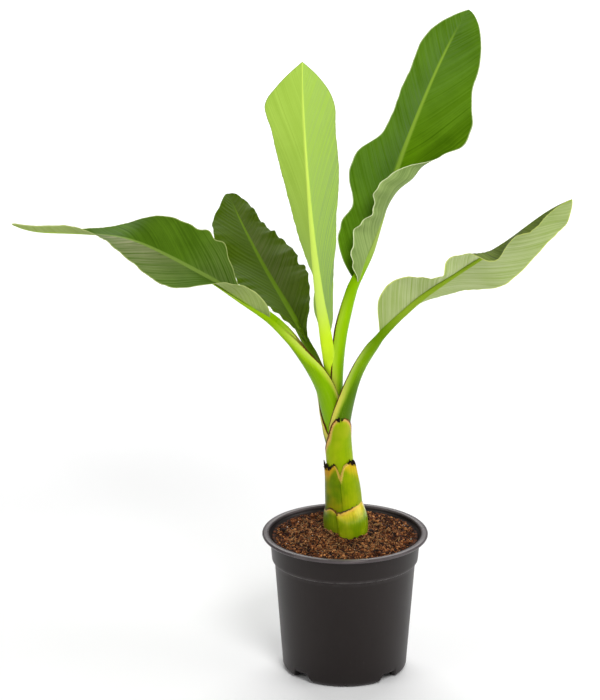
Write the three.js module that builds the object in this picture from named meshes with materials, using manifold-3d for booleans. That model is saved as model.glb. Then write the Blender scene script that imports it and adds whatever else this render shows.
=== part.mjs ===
// A young banana plant in a black nursery pot.
// Millimetres and degrees, +Z up. The origin is the middle of the pot's underside, and -Y is the front.
import * as THREE from 'three';
import { mergeVertices } from 'three/addons/utils/BufferGeometryUtils.js';
import Module from 'manifold-3d';

const wasm = await Module();
wasm.setup();
const { degToRad, lerp, clamp } = THREE.MathUtils;

// Driving dimensions

const GAP = 0.3;

const POT = {
  height: 147,
  rimRadius: 85,
  lipWidth: 6,
  lipDepth: 4,
  lipRound: 1,
  ledgeRise: 0.5,
  bandRadius: { top: 77, foot: 75 },
  bandHeight: 29,
  wallRadius: { top: 72.4, foot: 64 },
  cornerRadius: 6,
  cornerSteps: 3,
  wall: 2,
  floor: 2.5,
  sides: 40,
};

// Drain notches round the pot's foot: width and height at the edge, slope of the sides, inner radius
const NOTCHES = [
  { count: 4, firstAt: 45, width: 26, height: 7, slope: 5, reach: 55 },
  { count: 4, firstAt: 0, width: 7, height: 2.5, slope: 2, reach: 58 },
];

const SOIL = { level: 141.4, flatRadius: 40, wallLevel: 137 };

// The stem stands behind the pot's middle and leans to the left. Its radii run at even steps up its reach,
// which goes past its top for the sheaths that open out there.
const STEM = {
  foot: new THREE.Vector3(1, 14, SOIL.level + GAP),
  height: 116,
  lean: -10,
  reach: 126,
  radii: [13.7, 13.8, 12.7, 11.6, 11.3, 11.8, 14.6],
  sides: 24,
  rings: 9,
};

// Sheaths of old leaves, cut short, wrap the stem in three layers: distance from the stem and thickness
const LAYERS = {
  inner: { inset: GAP, wall: 2.2 },
  middle: { inset: 2.8, wall: 2.4 },
  outer: { inset: 5.5, wall: 2.8 },
};

// Heading of the tip, half of the arc it wraps, height of the tip, and how far the top falls at its sides
const SHEATHS = [
  { name: 'sheath_upper_front', layer: 'inner', heading: -75, wrap: 89, tip: 130, fall: 44 },
  { name: 'sheath_upper_back', layer: 'inner', heading: 105, wrap: 89, tip: 104, fall: 28 },
  { name: 'sheath_middle_right', layer: 'middle', heading: -41, wrap: 55, tip: 79, fall: 24 },
  { name: 'sheath_middle_left', layer: 'middle', heading: -153, wrap: 55, tip: 76, fall: 19 },
  { name: 'sheath_middle_back', layer: 'middle', heading: 83, wrap: 66, tip: 64, fall: 18 },
  { name: 'sheath_foot_right', layer: 'outer', heading: -24, wrap: 89, tip: 36, fall: 10 },
  { name: 'sheath_foot_left', layer: 'outer', heading: 156, wrap: 89, tip: 28, fall: 5 },
];
const SHEATH_STEP = { turn: 15, height: 20 };

// Leaves, youngest first. Rise and heading run at even steps from the fork to the tip; half width, fold and
// curl run at even steps along the blade. Minus and plus are the halves left and right of someone who looks
// along the leaf from the fork. The stalk's foot is set out from the fork. Widths are those of the stalk's
// foot, of its upper end and of the rib's tip, and a large taper narrows the rib early. A half rounds in
// over a share of the blade at its base and at its tip, and its wave crowds towards the tip.
const FLAT = [0];
const STILL = { height: 0, count: 1, phase: 0, crowd: 1 };
const LEAVES = [
  {
    name: 'centre', color: 0xa4c840,
    length: 401, stalk: 95, set: 1.5, widths: [14, 13, 3], taper: 2,
    rise: [87, 78, 73, 76, 80, 83, 90], heading: [-170, -128, -116, -114, -115, -115, -115],
    minus: {
      half: [16, 19, 25.5, 28.5, 32, 32.5, 35, 36.5, 35.5, 33, 33.5, 35, 36],
      fold: [85, 82, 70, 61, 53, 42, 38], curl: FLAT, wave: STILL,
      base: 0.1, tip: { share: 0.2, power: 2, round: 1 },
    },
    plus: {
      half: [24, 26, 30, 33, 36, 38, 40, 41, 42, 43.5, 47.5, 41.5, 36],
      fold: [40, 42, 56, 49, 42, 37, 32, 26, 20, 15, 10, 9, 8], curl: FLAT, wave: STILL,
      base: 0.1, tip: { share: 0.2, power: 2, round: 1 },
    },
  },
  {
    name: 'tall', color: 0x4c8418,
    length: 447, stalk: 150, set: 6, widths: [17, 15, 2], taper: 2.4,
    rise: [88, 82, 68, 70, 66, 62, 54], heading: [30],
    minus: {
      half: [16, 33, 39, 33, 46, 46, 28.5, 26, 27, 26, 28.5, 29, 28],
      fold: [40, 40, 40, 40, 38, 42, 45], curl: FLAT, wave: { height: 1, count: 4, phase: 0.3, crowd: 1 },
      base: 0.12, tip: { share: 0.19, power: 1.9, round: 1 },
    },
    plus: {
      half: [18, 24, 29, 30, 48, 58, 48, 62, 56, 44.5, 43.5, 40.5, 35],
      fold: [50, 66, 70, 20, -20, -60, -60, -38, -33, -32, -30, -26, -22],
      curl: [15, 26, 30, 70, 140, 180, 80, 15, 0, 0, 0, 0, 0],
      wave: { height: 1, count: 5, phase: 0, crowd: 1 },
      base: 0.12, tip: { share: 0.22, power: 2, round: 0.5 },
    },
  },
  {
    name: 'left', color: 0x558a20,
    length: 421, stalk: 132, set: 6.5, widths: [18, 13, 2], taper: 3,
    rise: [75, 66, 57, 46, 36, 31, 27, 25, 19.5, 3.5, -1, 0.5, 24], heading: [170, 168, 168, 168],
    minus: {
      half: [14, 18, 24, 32, 41.5, 42, 35, 26, 17, 13, 10, 8.5, 7],
      fold: [85, 40, -17, -20, 10, 75, 80], curl: FLAT, wave: { height: 2, count: 3, phase: 0, crowd: 1 },
      base: 0.12, tip: { share: 0.15, power: 2, round: 0.5 },
    },
    plus: {
      half: [2, 4, 12, 34, 43, 41, 35, 26, 18, 12, 9, 7.5, 6],
      fold: [95, 78, 50, 47, 5, 85, 85], curl: FLAT, wave: { height: 2, count: 5, phase: 0, crowd: 1 },
      base: 0.1, tip: { share: 0.15, power: 2, round: 0.5 },
    },
  },
  {
    name: 'right', color: 0x8fb45a,
    length: 416, stalk: 122, set: 3, widths: [18, 9, 2], taper: 1.4,
    rise: [75, 67.5, 60, 53, 47, 42.5, 38, 36, 35.5, 36.5, 40, 36, 26], heading: [-40],
    minus: {
      half: [20, 24, 28, 32, 36, 39.5, 42, 41, 37, 34, 33.5, 27, 25],
      fold: [30, 16, 3, -14, -24, -36, -46, -46, -42, -34, -29, -33, -20], curl: FLAT,
      wave: { height: 1, count: 3, phase: 0.4, crowd: 1 },
      base: 0.1, tip: { share: 0.16, power: 2, round: 1 },
    },
    plus: {
      half: [8, 22, 31, 30, 24, 19, 31, 25, 29, 14, 17, 8, 4],
      fold: [85, 68, 62, 57, 35, 7, 22, 14, -28, -18, -35, -24, -10], curl: FLAT, wave: STILL,
      base: 0.1, tip: { share: 0.12, power: 2, round: 1 },
    },
  },
  {
    name: 'back', color: 0x36600f,
    length: 322, stalk: 92, set: 6.5, widths: [16, 9, 2], taper: 1.6,
    rise: [62, 54, 36, 27, 27, 25, 26], heading: [128, 120, 114, 108],
    minus: {
      half: [8, 15, 27.5, 33, 38, 40, 41, 41.5, 41, 38, 33, 23.5, 18],
      fold: [50, 20, 8, 0, 5, 10, 15], curl: FLAT, wave: { height: 2, count: 4, phase: 0.5, crowd: 1 },
      base: 0.12, tip: { share: 0.35, power: 2, round: 0.5 },
    },
    plus: {
      half: [4, 9, 20, 29, 36, 38, 36, 37, 29, 25, 22, 25.5, 25],
      fold: [20, 12, 16, 14, 5, 8, 8], curl: FLAT, wave: { height: 2.5, count: 6, phase: 0.2, crowd: 1 },
      base: 0.12, tip: { share: 0.35, power: 2, round: 0.5 },
    },
  },
];

// A blade is a little over a hundredth of its length thick. Its two halves overlap under the rib, and its
// waves are full where a half is wide. They stand square to the half's fold plus a share of its curl.
const BLADE = { thickness: 0.0105, rows: 26, columns: 4, first: 0.012, last: 0.985, overlap: 0.06 };
const WAVE = { fullAt: 20, curlShare: 0.7 };

// A stalk's depth, crown and channel are shares of its width
const STALK = {
  rings: 10, ribRings: 16, sides: 10, depth: 0.42, crown: 0.12, channel: 0.22, settle: 0.6, root: 8,
};
const WALK_STEPS = 160;

const FINISH = {
  pot: { color: 0x2b2829, roughness: 0.45 },
  soil: { color: 0x4a2c17, roughness: 0.95 },
  stem: { color: 0x93b81d, roughness: 0.45 },
  sheath: { color: 0x9dbb22, roughness: 0.4 },
  stalk: { color: 0x8cc21c, roughness: 0.4 },
};
const BLADE_ROUGHNESS = 0.5;

// Smooth interpolation through values at even steps, for a share from 0 to 1 (a Catmull-Rom spline)
function ease(values, share) {
  const last = values.length - 1;
  if (last === 0) return values[0];
  const t = clamp(share, 0, 1) * last;
  const i = Math.min(Math.floor(t), last - 1);
  const f = t - i;
  const [p1, p2] = [values[i], values[i + 1]];
  const p0 = i > 0 ? values[i - 1] : 2 * p1 - p2;
  const p3 = i < last - 1 ? values[i + 2] : 2 * p2 - p1;
  const bend = (2 * p0 - 5 * p1 + 4 * p2 - p3) * f * f + (3 * p1 - p0 - 3 * p2 + p3) * f ** 3;
  return 0.5 * (2 * p1 + (p2 - p0) * f + bend);
}

// Closed shapes

// A geometry from points and triangles, turned inside out if its faces point inwards
function shell(points, faces) {
  let volume = 0;
  for (let i = 0; i < faces.length; i += 3) {
    const [a, b, c] = [points[faces[i]], points[faces[i + 1]], points[faces[i + 2]]];
    volume += a.dot(b.clone().cross(c));
  }
  const geometry = new THREE.BufferGeometry().setFromPoints(points);
  geometry.setIndex(volume < 0 ? faces.toReversed() : faces);
  return geometry;
}

// Rings of points joined one to the next, with a fan over each end
function loft(rings) {
  const count = rings[0].length;
  const points = rings.flat();
  const faces = [];
  for (let i = 0; i + 1 < rings.length; i++) {
    for (let k = 0; k < count; k++) {
      const a = i * count + k;
      const b = i * count + (k + 1) % count;
      faces.push(a, b, b + count, a, b + count, a + count);
    }
  }
  const middle = (ring) => ring.reduce((sum, p) => sum.add(p), new THREE.Vector3()).divideScalar(count);
  const foot = points.push(middle(rings[0])) - 1;
  const head = points.push(middle(rings.at(-1))) - 1;
  const top = (rings.length - 1) * count;
  for (let k = 0; k < count; k++) {
    const next = (k + 1) % count;
    faces.push(foot, next, k, head, top + k, top + next);
  }
  return shell(points, faces);
}

// Two grids of points, front and back, closed along their four edges
function slab(front, back) {
  const rows = front.length;
  const columns = front[0].length;
  const points = [...front.flat(), ...back.flat()];
  const at = (side, i, j) => (side * rows + i) * columns + j;
  const faces = [];
  const quad = (a, b, c, d) => faces.push(a, b, c, a, c, d);
  const [lastRow, lastColumn] = [rows - 1, columns - 1];
  for (let i = 0; i < lastRow; i++) {
    for (let j = 0; j < lastColumn; j++) {
      quad(at(0, i, j), at(0, i, j + 1), at(0, i + 1, j + 1), at(0, i + 1, j));
      quad(at(1, i, j), at(1, i + 1, j), at(1, i + 1, j + 1), at(1, i, j + 1));
    }
    quad(at(0, i, 0), at(0, i + 1, 0), at(1, i + 1, 0), at(1, i, 0));
    quad(at(0, i, lastColumn), at(1, i, lastColumn), at(1, i + 1, lastColumn), at(0, i + 1, lastColumn));
  }
  for (let j = 0; j < lastColumn; j++) {
    quad(at(0, 0, j), at(1, 0, j), at(1, 0, j + 1), at(0, 0, j + 1));
    quad(at(0, lastRow, j), at(0, lastRow, j + 1), at(1, lastRow, j + 1), at(1, lastRow, j));
  }
  return shell(points, faces);
}

// A profile of [radius, height] pairs turned about Z
function turned(profile) {
  const points = profile.map(([radius, height]) => new THREE.Vector2(radius, height));
  return new THREE.LatheGeometry(points, POT.sides).rotateX(Math.PI / 2);
}

// Joining and cutting

function solid(geometry) {
  const bare = geometry.clone();
  bare.deleteAttribute('normal');
  bare.deleteAttribute('uv');
  const merged = mergeVertices(bare);
  const corners = Array.from(merged.index.array);
  const triVerts = [];
  for (let i = 0; i < corners.length; i += 3) {
    const [a, b, c] = corners.slice(i, i + 3);
    if (a !== b && b !== c && c !== a) triVerts.push(a, b, c);
  }
  return new wasm.Manifold(new wasm.Mesh({
    numProp: 3,
    vertProperties: merged.attributes.position.array,
    triVerts: Uint32Array.from(triVerts),
  }));
}

function geometryOf(body) {
  const mesh = body.getMesh();
  const geometry = new THREE.BufferGeometry();
  geometry.setAttribute('position', new THREE.BufferAttribute(mesh.vertProperties, 3));
  geometry.setIndex(new THREE.BufferAttribute(mesh.triVerts, 1));
  geometry.computeVertexNormals();
  return geometry;
}

function largest(body) {
  return body.decompose().reduce((best, piece) => (piece.volume() > best.volume() ? piece : best));
}

function piece(name, body, finish) {
  const mesh = new THREE.Mesh(geometryOf(body), new THREE.MeshStandardMaterial(finish));
  mesh.name = name;
  return mesh;
}

// Pot and soil

// Wedges at the foot of the pot, grown on every side by an allowance
function notchWedges(allowance) {
  const wedges = [];
  for (const { count, firstAt, width, height, slope, reach } of NOTCHES) {
    const foot = width / 2 + allowance;
    const outline = new THREE.Shape([
      new THREE.Vector2(-foot, -POT.floor),
      new THREE.Vector2(foot, -POT.floor),
      new THREE.Vector2(foot, 0),
      new THREE.Vector2(foot - slope, height + allowance),
      new THREE.Vector2(slope - foot, height + allowance),
      new THREE.Vector2(-foot, 0),
    ]);
    const start = reach - allowance;
    const depth = POT.rimRadius - start;
    for (let k = 0; k < count; k++) {
      const turn = degToRad(firstAt + (360 / count) * k);
      const out = new THREE.Vector3(Math.cos(turn), Math.sin(turn), 0);
      const along = new THREE.Vector3(-Math.sin(turn), Math.cos(turn), 0);
      const placed = new THREE.Matrix4().makeBasis(along, new THREE.Vector3(0, 0, 1), out);
      placed.setPosition(out.clone().multiplyScalar(start));
      const wedge = new THREE.ExtrudeGeometry(outline, { depth, bevelEnabled: false });
      wedges.push(solid(wedge.applyMatrix4(placed)));
    }
  }
  return wasm.Manifold.union(wedges);
}

// Radius and height along a quarter circle that starts straight down on the ground and ends straight out
function cornerArc(middleRadius, radius, steps) {
  const points = [];
  for (let k = 0; k <= steps; k++) {
    const turn = (Math.PI / 2) * (k / steps - 1);
    points.push([middleRadius + radius * Math.cos(turn), radius + radius * Math.sin(turn)]);
  }
  return points;
}

// The pot's outside, from the middle of its foot up to the lip, and closed across the top
function potOutside() {
  const { height, rimRadius, lipWidth, lipDepth, lipRound, ledgeRise } = POT;
  const { bandRadius, bandHeight, wallRadius, cornerRadius, cornerSteps } = POT;
  const bandFoot = height - bandHeight;
  const underLip = height - lipDepth;
  return [
    [0, 0],
    ...cornerArc(wallRadius.foot - cornerRadius, cornerRadius, cornerSteps),
    [wallRadius.top, bandFoot],
    [bandRadius.foot, bandFoot + ledgeRise],
    [bandRadius.top, underLip - lipRound],
    [bandRadius.top + 2 * lipRound, underLip],
    [rimRadius - lipRound, underLip + ledgeRise],
    [rimRadius, underLip + ledgeRise + lipRound],
    [rimRadius, height - lipRound],
    [rimRadius - lipRound, height],
    [rimRadius - lipWidth + lipRound, height],
    [0, height],
  ];
}

// The space inside the pot, from the middle of its floor up its wall to a height; shrunk by an allowance
function potInside(allowance, upTo) {
  const { height, lipDepth, bandRadius, bandHeight, wallRadius, cornerRadius } = POT;
  const wall = POT.wall + allowance;
  const floor = POT.floor + allowance;
  const bandFoot = height - bandHeight;
  const bandShare = (upTo - bandFoot) / (bandHeight - lipDepth);
  return [
    [0, floor],
    [wallRadius.foot - cornerRadius, floor],
    [wallRadius.foot - wall, cornerRadius],
    [wallRadius.top - wall, bandFoot],
    [bandRadius.foot - wall, bandFoot + POT.wall],
    [lerp(bandRadius.foot, bandRadius.top, bandShare) - wall, upTo],
  ];
}

function makePot() {
  const { height, rimRadius, lipWidth, lipDepth, ledgeRise, wall } = POT;
  const mouth = rimRadius - lipWidth;
  const above = height + wall;
  const outside = solid(turned(potOutside())).subtract(notchWedges(0));
  const cavity = [...potInside(0, height - lipDepth), [mouth, height - ledgeRise], [mouth, above]];
  const inside = solid(turned([...cavity, [0, above]])).subtract(notchWedges(wall));
  return piece('pot', outside.subtract(inside), FINISH.pot);
}

function makeSoil() {
  const { level, flatRadius, wallLevel } = SOIL;
  const heap = solid(turned([...potInside(GAP, wallLevel), [flatRadius, level], [0, level]]));
  return piece('soil', largest(heap.subtract(notchWedges(POT.wall + GAP))), FINISH.soil);
}

// Stem and sheaths, measured from the middle of the stem's foot

function stemMiddle(height) {
  return new THREE.Vector3((STEM.lean * height) / STEM.height, 0, height);
}

// A point beside the stem, so far outside its surface
function roundStem(height, outside, turn) {
  const radius = ease(STEM.radii, height / STEM.reach) + outside;
  const point = stemMiddle(height);
  point.x += radius * Math.cos(turn);
  point.y += radius * Math.sin(turn);
  return point;
}

function makeStem() {
  const ring = (height) => Array.from({ length: STEM.sides }, (_, k) => (
    roundStem(height, 0, (2 * Math.PI * k) / STEM.sides)));
  const rings = Array.from({ length: STEM.rings }, (_, i) => ring((STEM.height * i) / (STEM.rings - 1)));
  return piece('stem', solid(loft(rings)), FINISH.stem);
}

// A wall of even thickness round part of the stem; its top falls from the tip to the sides
function makeSheath({ name, layer, heading, wrap, tip, fall }) {
  const { inset, wall } = LAYERS[layer];
  const columns = Math.ceil((2 * wrap) / SHEATH_STEP.turn);
  const rows = Math.ceil(tip / SHEATH_STEP.height);
  const grid = (outside) => Array.from({ length: rows + 1 }, (_, i) => (
    Array.from({ length: columns + 1 }, (__, j) => {
      const across = (2 * j) / columns - 1;
      const height = (i / rows) * (tip - fall * across ** 2);
      return roundStem(height, outside, degToRad(heading + across * wrap));
    })));
  return piece(name, solid(slab(grid(inset + wall), grid(inset))), FINISH.sheath);
}

// Leaves

// Points of the midrib at even steps, walked from the fork by the leaf's rise and heading
function walk(leaf) {
  const step = leaf.length / WALK_STEPS;
  const points = [stemMiddle(STEM.height)];
  for (let k = 0; k < WALK_STEPS; k++) {
    const { along } = axes(leaf, (k + 0.5) / WALK_STEPS);
    points.push(points[k].clone().addScaledVector(along, step));
  }
  return points;
}

// Directions at a share of the leaf's length: along the midrib, to its plus side, and up from the leaf
function axes(leaf, share) {
  const rise = degToRad(ease(leaf.rise, share));
  const heading = degToRad(ease(leaf.heading, share));
  const [c, s] = [Math.cos(rise), Math.sin(rise)];
  const along = new THREE.Vector3(c * Math.cos(heading), c * Math.sin(heading), s);
  const up = new THREE.Vector3(-s * Math.cos(heading), -s * Math.sin(heading), c);
  return { along, up, side: along.clone().cross(up) };
}

// Place on the midrib, with the stalk's foot set outwards from the fork and straight below it
function midrib(leaf, share) {
  const t = clamp(share, 0, 1) * WALK_STEPS;
  const i = Math.min(Math.floor(t), WALK_STEPS - 1);
  const point = leaf.points[i].clone().lerp(leaf.points[i + 1], t - i);
  const { along } = axes(leaf, 0);
  point.addScaledVector(along, Math.min(share, 0) * leaf.length);
  const settled = clamp(1 - share / (STALK.settle * leaf.neck), 0, 1) ** 2;
  const heading = degToRad(leaf.heading[0]);
  point.x += leaf.set * settled * Math.cos(heading);
  point.y += leaf.set * settled * Math.sin(heading);
  return point;
}

// Section of the stalk or rib: round below, channelled above, rolled to lie evenly between the two halves
function section(leaf, share, width, channel) {
  const blade = clamp((share - leaf.neck) / (1 - leaf.neck), 0, 1);
  const full = degToRad((ease(leaf.plus.fold, blade) - ease(leaf.minus.fold, blade)) / 2);
  const roll = full * clamp(share / leaf.neck, 0, 1);
  const { side, up } = axes(leaf, share);
  const across = side.clone().multiplyScalar(Math.cos(roll)).addScaledVector(up, Math.sin(roll));
  const over = up.clone().multiplyScalar(Math.cos(roll)).addScaledVector(side, -Math.sin(roll));
  const middle = midrib(leaf, share);
  return Array.from({ length: STALK.sides }, (_, k) => {
    const turn = (2 * Math.PI * k) / STALK.sides;
    const [c, s] = [Math.cos(turn), Math.sin(turn)];
    const lift = s < 0 ? STALK.depth * s : STALK.crown * s - channel * s * s;
    return middle.clone().addScaledVector(across, (width / 2) * c).addScaledVector(over, width * lift);
  });
}

// The stalk from below the fork to the blade, thicker by an allowance all round
function stalkBody(leaf, allowance) {
  const start = -STALK.root / leaf.length;
  const end = leaf.neck - (GAP / 2 - allowance) / leaf.length;
  const rings = Array.from({ length: STALK.rings + 1 }, (_, k) => {
    const share = lerp(start, end, k / STALK.rings);
    const width = lerp(leaf.widths[0], leaf.widths[1], clamp(share / leaf.neck, 0, 1));
    return section(leaf, share, width + 2 * allowance, allowance > 0 ? 0 : STALK.channel);
  });
  return solid(loft(rings));
}

// Half width of one side of the blade: rounded in at its base and towards its tip
function halfWidth(half, u) {
  const { share, power, round } = half.tip;
  const toTip = clamp((u - 1 + share) / share, 0, 1);
  const toBase = clamp(1 - u / half.base, 0, 1);
  return ease(half.half, u) * (1 - toTip ** power) ** round * Math.sqrt(1 - toBase ** 2);
}

// One half of the blade as a grid: each row leaves the midrib at its fold and bends on by its curl
function halfGrid(leaf, half, sign) {
  const rows = [];
  for (let i = 0; i <= BLADE.rows; i++) {
    const u = lerp(BLADE.first, BLADE.last, i / BLADE.rows);
    const share = leaf.neck + (1 - leaf.neck) * u;
    const { side, up } = axes(leaf, share);
    const width = halfWidth(half, u);
    const [fold, curl] = [degToRad(ease(half.fold, u)), degToRad(ease(half.curl, u))];
    const { height, count, phase, crowd } = half.wave;
    const swell = height * Math.min(1, width / WAVE.fullAt);
    const wave = swell * Math.sin(2 * Math.PI * (count * u ** crowd + phase));
    const lean = fold + WAVE.curlShare * curl;
    let [x, y] = [-BLADE.overlap * Math.cos(fold), -BLADE.overlap * Math.sin(fold)];
    const row = [];
    for (let j = 0; j <= BLADE.columns; j++) {
      const q = lerp(-BLADE.overlap, 1, j / BLADE.columns);
      const ripple = wave * Math.max(q, 0) ** 2;
      const point = midrib(leaf, share);
      point.addScaledVector(side, sign * (x * width - ripple * Math.sin(lean)));
      point.addScaledVector(up, y * width + ripple * Math.cos(lean));
      row.push(point);
      const step = (1 + BLADE.overlap) / BLADE.columns;
      const bend = fold + curl * Math.max(q + step / 2, 0);
      x += step * Math.cos(bend);
      y += step * Math.sin(bend);
    }
    rows.push(row);
  }
  return rows;
}

// A grid given thickness along its own normals
function thicken(grid, thickness) {
  const rows = grid.length - 1;
  const columns = grid[0].length - 1;
  const moved = (distance) => grid.map((row, i) => row.map((point, j) => {
    const along = grid[Math.min(i + 1, rows)][j].clone().sub(grid[Math.max(i - 1, 0)][j]);
    const across = row[Math.min(j + 1, columns)].clone().sub(row[Math.max(j - 1, 0)]);
    return point.clone().addScaledVector(along.cross(across).normalize(), distance);
  }));
  return solid(slab(moved(thickness / 2), moved(-thickness / 2)));
}

function ribBody(leaf) {
  const start = leaf.neck + GAP / 2 / leaf.length;
  const rings = Array.from({ length: STALK.ribRings + 1 }, (_, k) => {
    const u = k / STALK.ribRings;
    const width = lerp(leaf.widths[2], leaf.widths[1], (1 - u) ** leaf.taper);
    return section(leaf, lerp(start, 1, u), width, 0);
  });
  return solid(loft(rings));
}

function makeBlade(leaf) {
  const thickness = BLADE.thickness * (leaf.length - leaf.stalk);
  const minus = thicken(halfGrid(leaf, leaf.minus, -1), thickness);
  const plus = thicken(halfGrid(leaf, leaf.plus, 1), thickness);
  const body = largest(minus.add(plus).add(ribBody(leaf)));
  return piece(`blade_${leaf.name}`, body, { color: leaf.color, roughness: BLADE_ROUGHNESS });
}

// Stalks nest at the fork: each is cut to wrap round the younger ones, and all stand on the stem's flat top
function makeStalks(leaves) {
  const width = 4 * STEM.radii[0];
  const below = new THREE.BoxGeometry(width, width, width);
  below.translate(STEM.lean, 0, STEM.height + GAP - width / 2);
  let taken = solid(below);
  return leaves.map((leaf) => {
    const stalk = largest(stalkBody(leaf, 0).subtract(taken));
    taken = taken.add(stalkBody(leaf, GAP));
    return piece(`stalk_${leaf.name}`, stalk, FINISH.stalk);
  });
}

const plant = new THREE.Group();
plant.position.copy(STEM.foot);
const leaves = LEAVES.map((leaf) => ({ ...leaf, neck: leaf.stalk / leaf.length, points: walk(leaf) }));
plant.add(makeStem(), ...SHEATHS.map(makeSheath), ...makeStalks(leaves), ...leaves.map(makeBlade));

const pottedBanana = new THREE.Group();
pottedBanana.add(makePot(), makeSoil(), plant);

export default pottedBanana;
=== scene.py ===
"""Looks of a young banana plant in a black nursery pot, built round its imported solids.

Shapes are worked out in millimetres and degrees in the part's own frame: +Z up, the origin in the middle of
the pot's underside, -Y to the front. shown() puts them into Blender in metres.
"""
import math

import bpy
import numpy as np
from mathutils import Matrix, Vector


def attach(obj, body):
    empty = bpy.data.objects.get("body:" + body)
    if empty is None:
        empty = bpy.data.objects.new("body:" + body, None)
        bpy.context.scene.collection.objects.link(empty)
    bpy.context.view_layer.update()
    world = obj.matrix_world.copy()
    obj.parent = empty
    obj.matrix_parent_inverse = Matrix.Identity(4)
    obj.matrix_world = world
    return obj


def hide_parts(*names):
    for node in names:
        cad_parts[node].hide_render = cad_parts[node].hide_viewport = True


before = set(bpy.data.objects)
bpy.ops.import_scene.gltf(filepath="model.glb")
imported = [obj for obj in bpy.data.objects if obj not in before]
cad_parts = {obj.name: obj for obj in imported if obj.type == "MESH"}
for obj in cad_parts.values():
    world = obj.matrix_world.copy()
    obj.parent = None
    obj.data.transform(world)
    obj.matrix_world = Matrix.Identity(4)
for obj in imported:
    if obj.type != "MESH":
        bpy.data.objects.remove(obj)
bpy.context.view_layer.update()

MM = 0.001

# Sizes of the pot, the soil, the stem and its sheaths

POT = dict(height=147, rim=85, lip=7, lip_depth=4, band_top=77, band_foot=75, band=29,
           wall_top=72.4, wall_foot=64, corner=6, wall=2, floor=8.5, hollow=6, columns=360)
# Notches round the foot: count, first at, width, height, slope of the sides, inner radius
NOTCHES = ((4, 45, 27, 9, 5, 53), (4, 0, 7, 2.5, 2, 53))
# The mound is its place, reach and height. Heaps are the height, seed and size of the top's unevenness,
# which is lost between two radii.
SOIL = dict(level=142, flat=40, wall_level=142.2, mound=(-18, 1, 9, 5), gap=0.4, columns=320,
            heaps=((1.2, 3, 26), (0.9, 4, 9), (0.7, 5, 4)), heaped=(84, 62))
# Loose pieces on the soil. Sizes and tones, and a fibre's length and thickness, are drawn between bounds.
# Flat is a piece's height for its width, sunk the share by which it is let into the soil, and bend the most
# that a fibre turns, in radians.
CRUMBS = dict(count=9500, seed=21, smallest=0.4, largest=1.4, flat=0.8, sunk=0.3, tones=(-0.05, 0.9))
CLODS = dict(count=320, seed=22, smallest=1.5, largest=3.2, flat=0.55, sunk=0.8, tones=(0.1, 0.6))
GRAINS = dict(count=70, seed=24, smallest=0.4, largest=0.9, flat=0.9, sunk=0.1, tones=(0.4, 1.0))
FIBRES = dict(count=360, seed=23, length=(6, 24), thick=(0.18, 0.42), bend=1.6, tones=(0.45, 1.0))
STEM = dict(foot=(1, 14, 141.7), height=116, lean=-10, reach=126, sunk=4, columns=72,
            radii=(13.7, 13.8, 12.7, 11.6, 11.3, 11.8, 14.6))

# Cut-back sheaths: distance from the stem, wall, first and last heading, swell of the wall, flare of its top
# and how high it swells; heights of the top, depth of its dried tip and depth of its yellowing, each at even
# steps from the first heading to the last; depth to which the side margins have dried
SHEATHS = dict(
    upper_front=dict(inset=0.3, wall=2.2, arc=(-185, 35), swell=0.5, flare=0.2, high=0.8, sides=60,
                     tops=(86, 96, 108, 123.5, 128.5, 126.5, 118, 102, 88),
                     dry=(0, 0, 0, -3, 6, -3, 0, 0, 0), pale=(5, 6, 7, 8, 9, 9, 8, 7, 6)),
    upper_back=dict(inset=0.3, wall=2.2, arc=(37, 173), swell=0.5, flare=1, high=0.8, sides=60,
                    tops=(78, 90, 98, 103, 106, 103, 98, 90, 78),
                    dry=(0, 0, 0, 2, 5, 3, 0, 0, 0), pale=(5, 6, 7, 8, 9, 8, 7, 6, 5)),
    middle_right=dict(inset=2.2, wall=2.4, arc=(-92, 14), swell=3.2, flare=1.4, high=1.8, sides=4,
                      tops=(65, 75, 78.5, 79, 78.5, 77, 74, 70, 60),
                      dry=(0, 0, 0, 3, 5, 4, 1, 0, 0), pale=(4, 7, 12, 18, 22, 24, 20, 12, 8)),
    middle_left=dict(inset=2.4, wall=2.2, arc=(-208, -92), swell=0.8, flare=0.8, high=0.8, sides=4,
                     tops=(56, 64, 70, 73.5, 74, 73, 75, 76.5, 66),
                     dry=(0, 0, 1, 4, 5, 4, 3, 1.2, 0), pale=(4, 6, 12, 20, 24, 18, 11, 7, 4)),
    middle_back=dict(inset=2.6, wall=2.4, arc=(17, 149), swell=1.2, flare=0.6, high=0.8, sides=12,
                     tops=(50, 57, 62, 65, 66, 63, 58, 52, 46),
                     dry=(0, 0, 1, 3, 4, 2, 0, 0, 0), pale=(4, 6, 9, 14, 16, 14, 9, 6, 4)),
    foot_right=dict(inset=4.9, wall=2.4, arc=(-112, 65), swell=2.4, flare=-0.5, high=0.8, sides=5,
                    tops=(27, 29, 32, 35, 37.5, 31, 28, 26, 24),
                    dry=(0.4, 0.9, 1.1, 0.9, 0.8, 0.6, 0.5, 0.5, 0.4), pale=(9, 15, 19, 20, 17, 10, 8, 8, 6)),
    foot_left=dict(inset=4.3, wall=2.3, arc=(67, 247), swell=1.6, flare=-0.7, high=0.8, sides=5,
                   tops=(23, 26, 28, 28, 27, 26, 27, 30.5, 29),
                   dry=(0.4, 0.5, 0.8, 0.6, 0.5, 0.5, 0.6, 0.7, 0.4), pale=(6, 6, 8, 8, 6, 5, 7, 8, 7)),
)
SHEATH_ROWS, SHEATH_COLUMNS = 72, 180

NONE = (0,)
NO_WAVE = (0, 1, 0)
LEAF = dict(slant=1.05, fade=0.6)


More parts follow.
